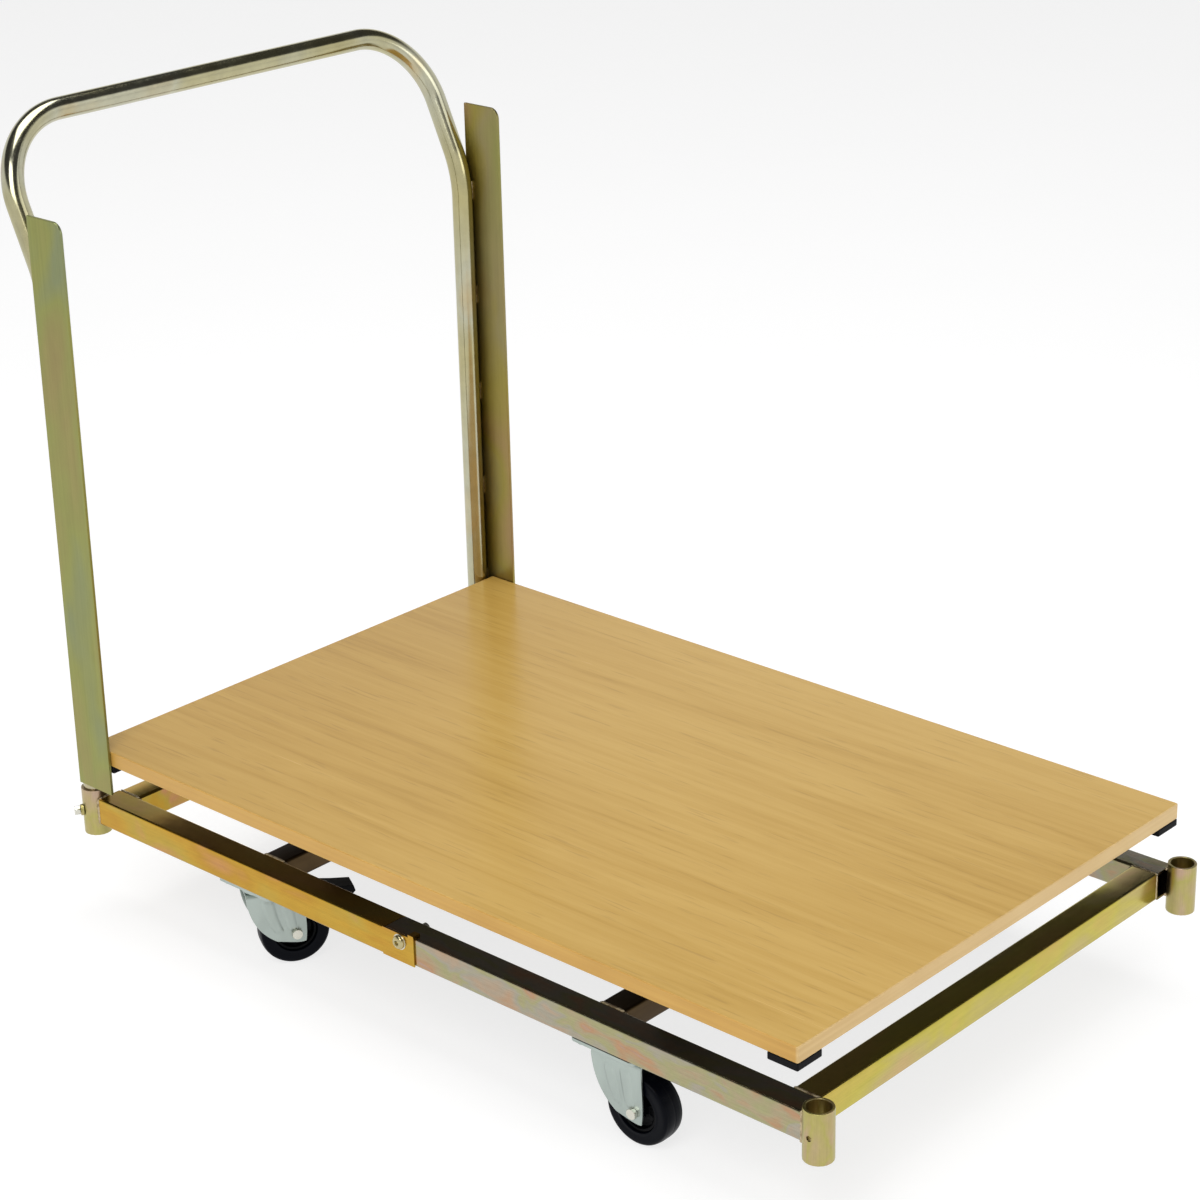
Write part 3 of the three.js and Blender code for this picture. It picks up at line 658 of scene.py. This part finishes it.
def makeHingeBolts():
    value = boltValues
    hinge = joints["frame_fold"]["pos_m"]
    for side, sign in sideSigns.items():
        axis, origin = (0, sign, 0), (hinge[0], 0, hinge[2])
        low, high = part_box(f"hinge_bolt_{side}")
        tip = min(abs(low.y), abs(high.y))
        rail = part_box(f"rear_side_rail_{side}")
        face = max(abs(rail[0].y), abs(rail[1].y))
        washer(f"hinge_washer_{side}", origin, axis, face + 0.00005, "rear_frame",
               value["washerRadius"], value["washerHeight"])
        buttonHead(f"hinge_bolt_head_{side}", origin, axis, face + 0.00065, "rear_frame")
        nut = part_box(f"hinge_nut_{side}")
        nutReach = sorted([abs(nut[0].y), abs(nut[1].y)])
        points = hexPoints(origin, axis, value["nutAcross"], *nutReach, bore=value["nutBore"])
        nutPiece = gridPiece(f"hinge_nut_{side}_hex", points, "bolt", "rear_frame",
                             closeRows=True)
        radius, threadEnd = value["stemRadius"], tip + value["threadLength"]
        shank = [(1e-9, tip), (radius - 0.0007, tip), (radius - 0.0001, tip + 0.0006)]
        shank += threadProfile(radius, tip + 0.0008, threadEnd, value["threadPitch"]).tolist()
        shank += [(radius, threadEnd + 0.0004), (radius, face + 0.001), (1e-9, face + 0.001)]
        stem = gridPiece(f"hinge_bolt_stem_{side}", turnedPoints(shank, origin, axis, 40),
                         "bolt", "rear_frame")
        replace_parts(stem, f"hinge_bolt_{side}")
        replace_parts(nutPiece, f"hinge_nut_{side}")


# The clamp screws: a hexagonal head on a threaded stem, pointing out of the socket at an angle,
# through a boss on the socket. The boss's profile stands on the socket's outer radius.
clampValues = {
    "clearance": 0.0003, "headGap": 0.004, "headAcross": 0.0104, "headHeight": 0.0064,
    "stemRadius": 0.003, "pitch": 0.001,
    "boss": [(0.0034, -0.0006), (0.0072, -0.0004), (0.007, 0.0026), (0.0064, 0.0032), (0.0034, 0.0032)],
}


def makeClampScrews():
    value = clampValues
    for side in sideSigns:
        axis = np.array(joints[f"clamp_screw_{side}_turn_out"]["axis"], float)
        socket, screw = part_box(f"rear_socket_{side}"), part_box(f"clamp_screw_{side}")
        origin = ((socket[0].x + socket[1].x) / 2, (socket[0].y + socket[1].y) / 2,
                  (screw[0].z + screw[1].z) / 2)
        socketRadius = (socket[1].x - socket[0].x) / 2
        tip, head = handleValues["radius"] + value["clearance"], socketRadius + value["headGap"]
        body = f"clamp_screw_{side}"
        thread = threadProfile(value["stemRadius"], tip + 0.0005, head, value["pitch"]).tolist()
        stem = [(1e-9, tip), (value["stemRadius"] - 0.0006, tip), *thread, (1e-9, head)]
        piece = gridPiece(f"clamp_screw_{side}_stem", turnedPoints(stem, origin, axis, 32),
                          "bolt", body)
        hexHead = hexPoints(origin, axis, value["headAcross"], head, head + value["headHeight"])
        gridPiece(f"clamp_screw_{side}_head", hexHead, "bolt", body)
        boss = [(radius, socketRadius + rise) for radius, rise in value["boss"]]
        points = turnedPoints(boss, origin, axis, 48, start=0.2)
        gridPiece(f"clamp_nut_{side}", points, "socket", "rear_frame", closeRows=True)
        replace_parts(piece, f"clamp_screw_{side}")


# Casters. Each is made about its own swivel axis, with the wheel trailing along its own X, and is
# then turned to the direction that its axle gives.
casterValues = {
    "mid": 0.01825, "wall": 0.0023, "crown": 0.1017, "bend": 0.006, "tail": 0.026, "nose": 0.011,
    "foot": 0.015, "fluteDepth": 0.0019, "rows": 40, "columns": 60, "heelX": 0.008,
    "heelDrop": 0.007, "rearPull": 0.004, "rearRise": 0.012, "toeRise": 0.003, "flutes": (0.36, 0.68),
    "pin": [(1e-9, 0.0952), (0.0052, 0.0954), (0.0076, 0.0966), (0.0088, 0.0986),
            (0.009, 0.1008), (1e-9, 0.1008)],
    "cup": [(0.0195, 0.1034), (0.0262, 0.1034), (0.027, 0.104), (0.0262, 0.1046), (0.0195, 0.1046)],
}


def casterPlace(name):
    swivel, roll = joints[f"swivel_{name}"]["pos_m"], joints[f"roll_{name}"]
    axle = np.array(roll["axis"], float)
    forward = np.array([axle[1], -axle[0], 0])
    trail = float((np.array(roll["pos_m"]) - np.array(swivel)) @ forward)
    origin = np.array([swivel[0], swivel[1], 0])
    return origin, forward, axle, trail, roll["pos_m"][2]


def turnTo(points, place):
    origin, forward, axle = place[:3]
    return origin + points[..., :1] * forward + points[..., 1:2] * axle + points[..., 2:] * [0, 0, 1.0]


def smooth(value, low, high):
    share = np.clip((value - low) / (high - low), 0, 1)
    return share * share * (3 - 2 * share)


# The fork is one pressed sheet: up one cheek, round a bend, over the crown and down the other. A
# cheek is a patch stretched between four edges: its foot, which drops to the front, its sweeping
# rear edge, its straight front edge, and the bend line; two shallow flutes stand out of it.
def cheekPatch(value, trail, axleZ):
    up = np.linspace(0, 1, value["rows"])[:, None]
    along = np.linspace(0, 1, value["columns"])[None, :]
    straight, lift = value["crown"] - value["bend"], value["toeRise"]
    foot = (value["heelX"], axleZ - value["heelDrop"])
    toe = (trail + value["nose"], axleZ - value["foot"])
    heel, front = (-value["tail"], straight), (trail + value["nose"], straight)
    pull = (0.2 * value["foot"]) * (1 - up) ** 5
    footX = foot[0] + (toe[0] - foot[0]) * along
    footZ = foot[1] + (toe[1] - foot[1]) * along + lift * along ** 6
    bowX, bowZ = -value["tail"] + value["rearPull"], axleZ + value["rearRise"]
    rearX = (1 - up) ** 2 * foot[0] + 2 * up * (1 - up) * bowX + up ** 2 * heel[0]
    rearZ = (1 - up) ** 2 * foot[1] + 2 * up * (1 - up) * bowZ + up ** 2 * heel[1]
    frontX = toe[0] - pull
    frontZ = toe[1] + lift * (1 - up) + (front[1] - toe[1] - lift * (1 - up)) * up
    topX, topZ = heel[0] + (front[0] - heel[0]) * along, np.full_like(along, straight)
    corners = [(foot, 0, 0), ((toe[0] - pull[0, 0], toe[1] + lift), 0, 1), (heel, 1, 0), (front, 1, 1)]
    edges = [(footX, topX, rearX, frontX), (footZ, topZ, rearZ, frontZ)]
    patch = []
    for axis, (low, high, left, right) in enumerate(edges):
        whole = (1 - up) * low + up * high + (1 - along) * left + along * right
        for corner, atTop, atFront in corners:
            whole = whole - corner[axis] * np.abs(1 - atTop - up) * np.abs(1 - atFront - along)
        patch.append(whole)
    return patch


def makeFork(name):
    value, place = casterValues, casterPlace(name)
    body = f"caster_{name}"
    x, z = cheekPatch(value, place[3], place[4])
    share = np.linspace(0, 1, value["columns"])
    rise = np.linspace(0, 1, value["rows"])[:, None]
    flutes = sum(smooth(share, mid - 0.11, mid - 0.06) * (1 - smooth(share, mid + 0.06, mid + 0.11))
                 for mid in value["flutes"])
    lift = value["fluteDepth"] * flutes * smooth(rise, 0.26, 0.34) * (1 - smooth(rise, 0.86, 0.98))
    y = value["mid"] + lift
    arc = np.linspace(0, math.pi / 2, 9)[1:, None]
    bendY = np.broadcast_to(value["mid"] - value["bend"] * (1 - np.cos(arc)), (8, len(share)))
    bendZ = np.broadcast_to(z[-1] + value["bend"] * np.sin(arc), (8, len(share)))
    crownY = np.linspace(value["mid"] - value["bend"], 0, 8)[1:, None] * np.ones(len(share))
    halfX = np.concatenate([x, np.repeat(x[-1:], 15, 0)])
    halfY = np.concatenate([y, bendY, crownY])
    halfZ = np.concatenate([z, bendZ, np.full_like(crownY, value["crown"])])
    half = np.stack([halfX, halfY, halfZ], -1)
    points = np.concatenate([half * [1, -1, 1], half[::-1][1:]])
    piece = gridPiece(f"fork_shape_{name}", turnTo(points, place), "zinc", body,
                      closeColumns=False)
    wall = piece.modifiers.new("wall", "SOLIDIFY")
    wall.thickness = value["wall"]
    wall.offset = 0
    rounded(piece, 0.0005)
    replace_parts(piece, f"fork_{name}")
    pin = turnedPoints(value["pin"], place[0], (0, 0, 1), 40)
    gridPiece(f"king_pin_{name}", pin, "zinc", body)
    cup = turnedPoints(value["cup"], place[0], (0, 0, 1), 72)
    gridPiece(f"race_cup_{name}", cup, "zinc", body, closeRows=True)


# The axle: a hexagonal head on one side, and a nut with a little thread past it on the other.
axleValues = {
    "seat": 0.0197, "radius": 0.0038, "pitch": 0.001, "threadStart": 0.0052, "threadEnd": 0.0083,
    "across": 0.0118, "head": 0.0046, "nut": 0.0056, "nutBore": 0.0036,
}


def makeAxle(name):
    value, place = axleValues, casterPlace(name)
    origin, axis = np.array(joints[f"roll_{name}"]["pos_m"]), place[2]
    body, seat, radius = f"caster_{name}", value["seat"], value["radius"]
    thread = threadProfile(radius, seat + value["threadStart"], seat + value["threadEnd"],
                           value["pitch"]).tolist()
    stem = [(1e-9, -seat), (radius, -seat), (radius, seat + 0.005), *thread, (1e-9, seat + 0.0086)]
    piece = gridPiece(f"axle_stem_{name}", turnedPoints(stem, origin, axis, 32), "bolt", body)
    head = hexPoints(origin, axis, value["across"], -seat, -seat - value["head"])
    gridPiece(f"axle_head_{name}", head, "bolt", body)
    nut = hexPoints(origin, axis, value["across"], seat, seat + value["nut"], value["nutBore"])
    gridPiece(f"axle_nut_{name}", nut, "bolt", body, closeRows=True)
    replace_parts(piece, f"axle_bolt_{name}")


# Wheels. The hub's disc carries six ribs between the boss and the rim. The tyre's tread is a
# shallow crown with a mould line round its middle.
wheelValues = {
    "radius": 0.0425, "half": 0.015, "hub": 0.026, "boss": 0.0092, "bore": 0.0044, "bossHalf": 0.0165,
    "discHalf": 0.0055, "discFrom": 0.0132, "discTo": 0.0198, "ribHeight": 0.0035, "ribs": 6,
    "ribWidth": 0.09, "around": 120, "treadHalf": 0.0108, "crown": 0.0009, "mouldLine": 0.0003,
    "shoulder": 0.0042, "shoulderTop": 0.0416,
    "wall": [[0.0345, 0.015], [0.031, 0.0146], [0.0285, 0.0146], [0.0275, 0.0149],
             [0.0266, 0.0147], [0.0262, 0.0135], [0.0261, 0.012]],
}


def makeWheel(name):
    value, place = wheelValues, casterPlace(name)
    origin, axis = np.array(joints[f"roll_{name}"]["pos_m"]), place[2]
    body = f"wheel_{name}"
    half, disc, rim = value["half"] - 0.0028, value["discHalf"], value["hub"] - 0.0002
    boss, bossHalf = value["boss"], value["bossHalf"]
    side = [(value["bore"], bossHalf), (boss - 0.0008, bossHalf), (boss, bossHalf - 0.0008),
            (boss + 0.0004, disc + 0.003), (boss + 0.0016, disc + 0.0006), (boss + 0.003, disc)]
    side += [(radius, disc) for radius in np.linspace(value["discFrom"], value["discTo"], 8)]
    side += [(0.021, disc + 0.0008), (0.0218, disc + 0.0026), (0.0222, half - 0.0006), (0.0228, half),
             (rim - 0.0008, half), (rim, half - 0.0008)]
    side = np.array(side)
    profile = np.concatenate([side, (side * [1, -1])[::-1]])
    points = turnedPoints(profile, (0, 0, 0), axis, value["around"])
    angle = np.arange(value["around"]) * tau / value["around"]
    fromRib = np.abs((angle * value["ribs"] / tau) % 1 - 0.5)
    ribs = np.exp(-(fromRib / value["ribWidth"]) ** 2)
    onDisc = smooth(profile[:, 0], 0.0096, 0.0112) * (1 - smooth(profile[:, 0], 0.0212, 0.0222))
    lift = value["ribHeight"] * onDisc[:, None] * ribs * np.sign(profile[:, 1])[:, None]
    points = points + lift[..., None] * axis + origin
    hub = gridPiece(f"hub_shape_{name}", points, "plastic", body, closeRows=True)
    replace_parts(hub, f"hub_{name}")
    sweep = np.linspace(-1, 1, 25)
    treadRadius = value["radius"] - value["crown"] * sweep ** 4
    treadRadius -= value["mouldLine"] * np.exp(-(sweep / 0.06) ** 2)
    tread = np.stack([treadRadius, sweep * value["treadHalf"]], -1)
    bendAngle, bend = np.linspace(0, math.pi / 2, 8)[1:], value["shoulder"]
    shoulder = np.stack([value["shoulderTop"] - bend * (1 - np.cos(bendAngle)),
                         value["treadHalf"] + bend * np.sin(bendAngle)], -1)
    wall = np.array(value["wall"])
    outer = np.concatenate([tread, shoulder, wall])
    inner = np.concatenate([(shoulder * [1, -1]), (wall * [1, -1])])[::-1]
    points = turnedPoints(np.concatenate([inner, outer]), origin, axis, value["around"])
    tyre = gridPiece(f"tyre_shape_{name}", points, "tyre", body, closeRows=True)
    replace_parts(tyre, f"tyre_{name}")


# Bolts that hold a caster's plate to the side rail: hexagonal heads under the plate.
plateBoltValues = {
    "plate": 0.004, "reachX": 0.034, "reachY": 0.022, "across": 0.0126, "head": 0.0034, "nut": 0.0066,
    "nutBore": 0.0036, "washer": 0.0082, "washerHeight": 0.001, "stem": 0.0038, "pitch": 0.00125,
    "stemTop": 0.0092,
}


def makePlateBolts(name):
    value = plateBoltValues
    end, side = name.split("_")
    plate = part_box(f"caster_plate_{name}")
    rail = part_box(f"{end}_side_rail_{side}")
    middleX, middleY = (plate[0].x + plate[1].x) / 2, (plate[0].y + plate[1].y) / 2
    body, top, bottom = f"{end}_frame", plate[1].z, plate[1].z - value["plate"]
    for count, (alongX, alongY) in enumerate([(1, 1), (-1, 1), (1, -1), (-1, -1)]):
        origin = (middleX + alongX * value["reachX"], middleY + alongY * value["reachY"], 0)
        points = hexPoints(origin, (0, 0, 1), value["across"], bottom, bottom - value["head"])
        gridPiece(f"plate_bolt_{name}_{count}", points, "zinc", body)
        washer(f"plate_washer_{name}_{count}", origin, (0, 0, -1), -bottom, body,
               value["washer"], value["washerHeight"])
        if not rail[0].y < origin[1] < rail[1].y:  # inboard of the rail its nut shows on the plate
            nut = hexPoints(origin, (0, 0, 1), value["across"], top, top + value["nut"],
                            value["nutBore"])
            gridPiece(f"plate_nut_{name}_{count}", nut, "bolt", body, closeRows=True)
            thread = threadProfile(value["stem"], top - 0.003, top + value["stemTop"], value["pitch"])
            profile = [(1e-9, top - 0.003), *thread.tolist(), (1e-9, top + 0.0095)]
            stem = turnedPoints(profile, origin, (0, 0, 1), 32)
            gridPiece(f"plate_stem_{name}_{count}", stem, "bolt", body)


def makeCasters():
    for name in casterNames:
        softened(f"caster_plate_{name}", "zinc", 0.0005)
        makeFork(name)
        makeAxle(name)
        makeWheel(name)
        makePlateBolts(name)
        if f"brake_pedal_{name}" in frame["nodes"]:
            softened(f"brake_pedal_{name}", "plastic", 0.0012, 3)


# The deck: a board whose edge is wrapped by a thin band. The band is a rounded rectangular loop
# with a slightly eased outer corner; the board fills it, a hair lower on top.
deckValues = {"band": 0.0012, "corner": 0.0022, "ease": 0.0007, "backing": 0.0006, "gap": 0.00005}


def loopRow(width, height, radius, middle, z):
    loop = rectangleLoop(width, height, radius, 5)
    return np.concatenate([loop + middle[:2], np.full((len(loop), 1), z)], -1)


def makeDeck():
    low, high = (np.array(corner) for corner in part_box("deck_board"))
    size, middle = high - low, (low + high) / 2
    value = deckValues
    band, ease, corner = value["band"], value["ease"], value["corner"]
    top, bottom, bend = high[2], low[2], ease * 0.25  # the round over an edge passes through bend
    rows = [(0, bottom + ease, corner), (0, top - ease, corner), (-ease * 0.6, top - bend, corner),
            (-ease, top, corner), (-band, top, corner - band), (-band, bottom, corner - band),
            (-ease, bottom, corner), (-ease * 0.6, bottom + bend, corner)]
    points = [loopRow(size[0] + 2 * grow, size[1] + 2 * grow, radius, middle, z)
              for grow, z, radius in rows]
    gridPiece("deck_edge_band", np.array(points), "edge", "deck", closeRows=True)
    gap = value["gap"]
    inset, bottom = band + gap, low[2] + value["backing"]
    board = slab("deck_face", low + inset, high - inset, high[2] - gap, bottom, "beech")
    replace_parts(board, "deck_board")
    # a thin sheet under the board, coloured near-black as painted shade
    slab("deck_backing", low + inset, high - inset, bottom - gap, low[2] + gap, "backing")
    for half in ["rear", "front"]:
        softened(f"deck_batten_{half}", "batten", 0.0012)
        for place in ["a", "b"]:
            softened(f"deck_stay_{half}_{place}", "zinc", 0.0005)
        for side in sideSigns:
            softened(f"corner_pad_{half}_{side}", "pad", 0.0014, 3)


def slab(name, low, high, top, bottom, look):  # a flat rectangular plate with closed sides
    x, y = [low[0], high[0]], [low[1], high[1]]
    corners = [(x[0], y[0]), (x[1], y[0]), (x[1], y[1]), (x[0], y[1])]
    points = [(*corner, z) for z in (bottom, top) for corner in corners]
    faces = [(3, 2, 1, 0), (4, 5, 6, 7), (0, 1, 5, 4), (1, 2, 6, 5), (2, 3, 7, 6), (3, 0, 4, 7)]
    mesh = bpy.data.meshes.new(name)
    mesh.from_pydata(points, [], faces)
    return dressed(name, mesh, look, "deck")


# The stage: a wide pale floor that glows a little, a large soft light overhead, one on the near
# side and a weak one at the front.
stageValues = {
    "floor": 60.0, "floorTone": (0.33, 0.33, 0.33), "floorGlow": 0.76,
    "key": {"place": (1.6, -3.4, 4.2), "size": 2.8, "power": 95},
    "top": {"place": (-0.6, 0.2, 4.6), "size": 3.0, "power": 110},
    "fill": {"place": (3.6, 1.2, 2.4), "size": 2.4, "power": 25},
}


def makeStage():
    reach = stageValues["floor"]
    mesh = bpy.data.meshes.new("floor")
    mesh.from_pydata([(-reach, -reach, 0), (reach, -reach, 0), (reach, reach, 0), (-reach, reach, 0)],
                     [], [(0, 1, 2, 3)])
    floor = bpy.data.objects.new("floor", mesh)
    bpy.context.scene.collection.objects.link(floor)
    look = newLook("paleFloor")
    tone = look.noise(look.place(), 3.0, 3.0)
    colour = look.mix(tone.between(0.2, 0.8), stageValues["floorTone"],
                      tuple(channel * 1.02 for channel in stageValues["floorTone"]))
    shader = {"Base Color": colour, "Roughness": 0.9, "Specular IOR Level": 0.1,
              "Emission Color": (1, 1, 1, 1), "Emission Strength": stageValues["floorGlow"]}
    mesh.materials.append(look.finish(shader))
    for name in ["key", "top", "fill"]:
        value = stageValues[name]
        light = bpy.data.objects.new(name + "Light", bpy.data.lights.new(name + "Light", "AREA"))
        light.data.shape = "SQUARE"
        light.data.size = value["size"]
        light.data.energy = value["power"]
        light.location = value["place"]
        aim = Vector((0, 0, 0.3)) - Vector(value["place"])
        light.rotation_mode = "QUATERNION"
        light.rotation_quaternion = aim.to_track_quat("-Z", "Y")
        bpy.context.scene.collection.objects.link(light)
    makeSky()


# The sky: bright low down, dim higher up where the lights hang, and pale to the camera.
skyValues = {
    "levels": [(0.0, 0.95), (0.37, 0.95), (0.47, 0.06), (0.85, 0.05), (1.0, 0.22)],
    "strength": 1.0, "seen": (0.95, 0.95, 0.95),
}


def makeSky():
    world = bpy.data.worlds.new("studio")
    bpy.context.scene.world = world
    sky = Look(world)
    view = sky.add("ShaderNodeTexCoord", output="Generated")
    height = sky.add("ShaderNodeSeparateXYZ", values={"Vector": view}, output="Z")
    stops = [(place, (level, level, level)) for place, level in skyValues["levels"]]
    lit = sky.ramp(height, stops)
    seen = sky.add("ShaderNodeLightPath", output="Is Camera Ray")
    colour = sky.mix(seen, lit, skyValues["seen"])
    values = {"Color": colour, "Strength": skyValues["strength"]}
    background = sky.add("ShaderNodeBackground", values=values)
    sky.add("ShaderNodeOutputWorld", values={"Surface": background})


# The camera: where it stands, which way it looks, and how long its lens is.
cameraValues = {
    "place": (2.1831, -2.3442, 1.7656), "heading": 131.516, "down": 21.812, "roll": -0.872,
    "focal": 2975.1 / 1200, "shift": (-0.05, -0.0333), "sensor": 36.0,
}


def makeCamera():
    value = cameraValues
    heading, down, roll = (math.radians(value[key]) for key in ("heading", "down", "roll"))
    level = math.cos(down)
    forward = Vector((math.cos(heading) * level, math.sin(heading) * level, -math.sin(down)))
    right = Vector((math.sin(heading), -math.cos(heading), 0))
    up = right.cross(forward)
    turnedRight = right * math.cos(roll) + up * math.sin(roll)
    turnedUp = up * math.cos(roll) - right * math.sin(roll)
    camera = bpy.data.objects.new("camera", bpy.data.cameras.new("camera"))
    camera.data.sensor_width = value["sensor"]
    camera.data.lens = value["focal"] * value["sensor"]
    camera.data.shift_x, camera.data.shift_y = value["shift"]
    camera.data.clip_end = 300
    turn = Matrix((turnedRight, turnedUp, -forward)).transposed()
    camera.matrix_world = Matrix.Translation(value["place"]) @ turn.to_4x4()
    bpy.context.scene.collection.objects.link(camera)
    bpy.context.scene.camera = camera


makeCamera()
makeStage()
print("camera and stage made")
makeFrame()
print("frame tubes made")
makeHandle()
print("handle made")
makeWelds()
makeHingeBolts()
makeClampScrews()
print("welds and bolts made")
makeCasters()
print("casters made")
makeDeck()
print("deck made")

scene = bpy.context.scene
scene.view_settings.view_transform = "Standard"
scene.view_settings.look = "None"
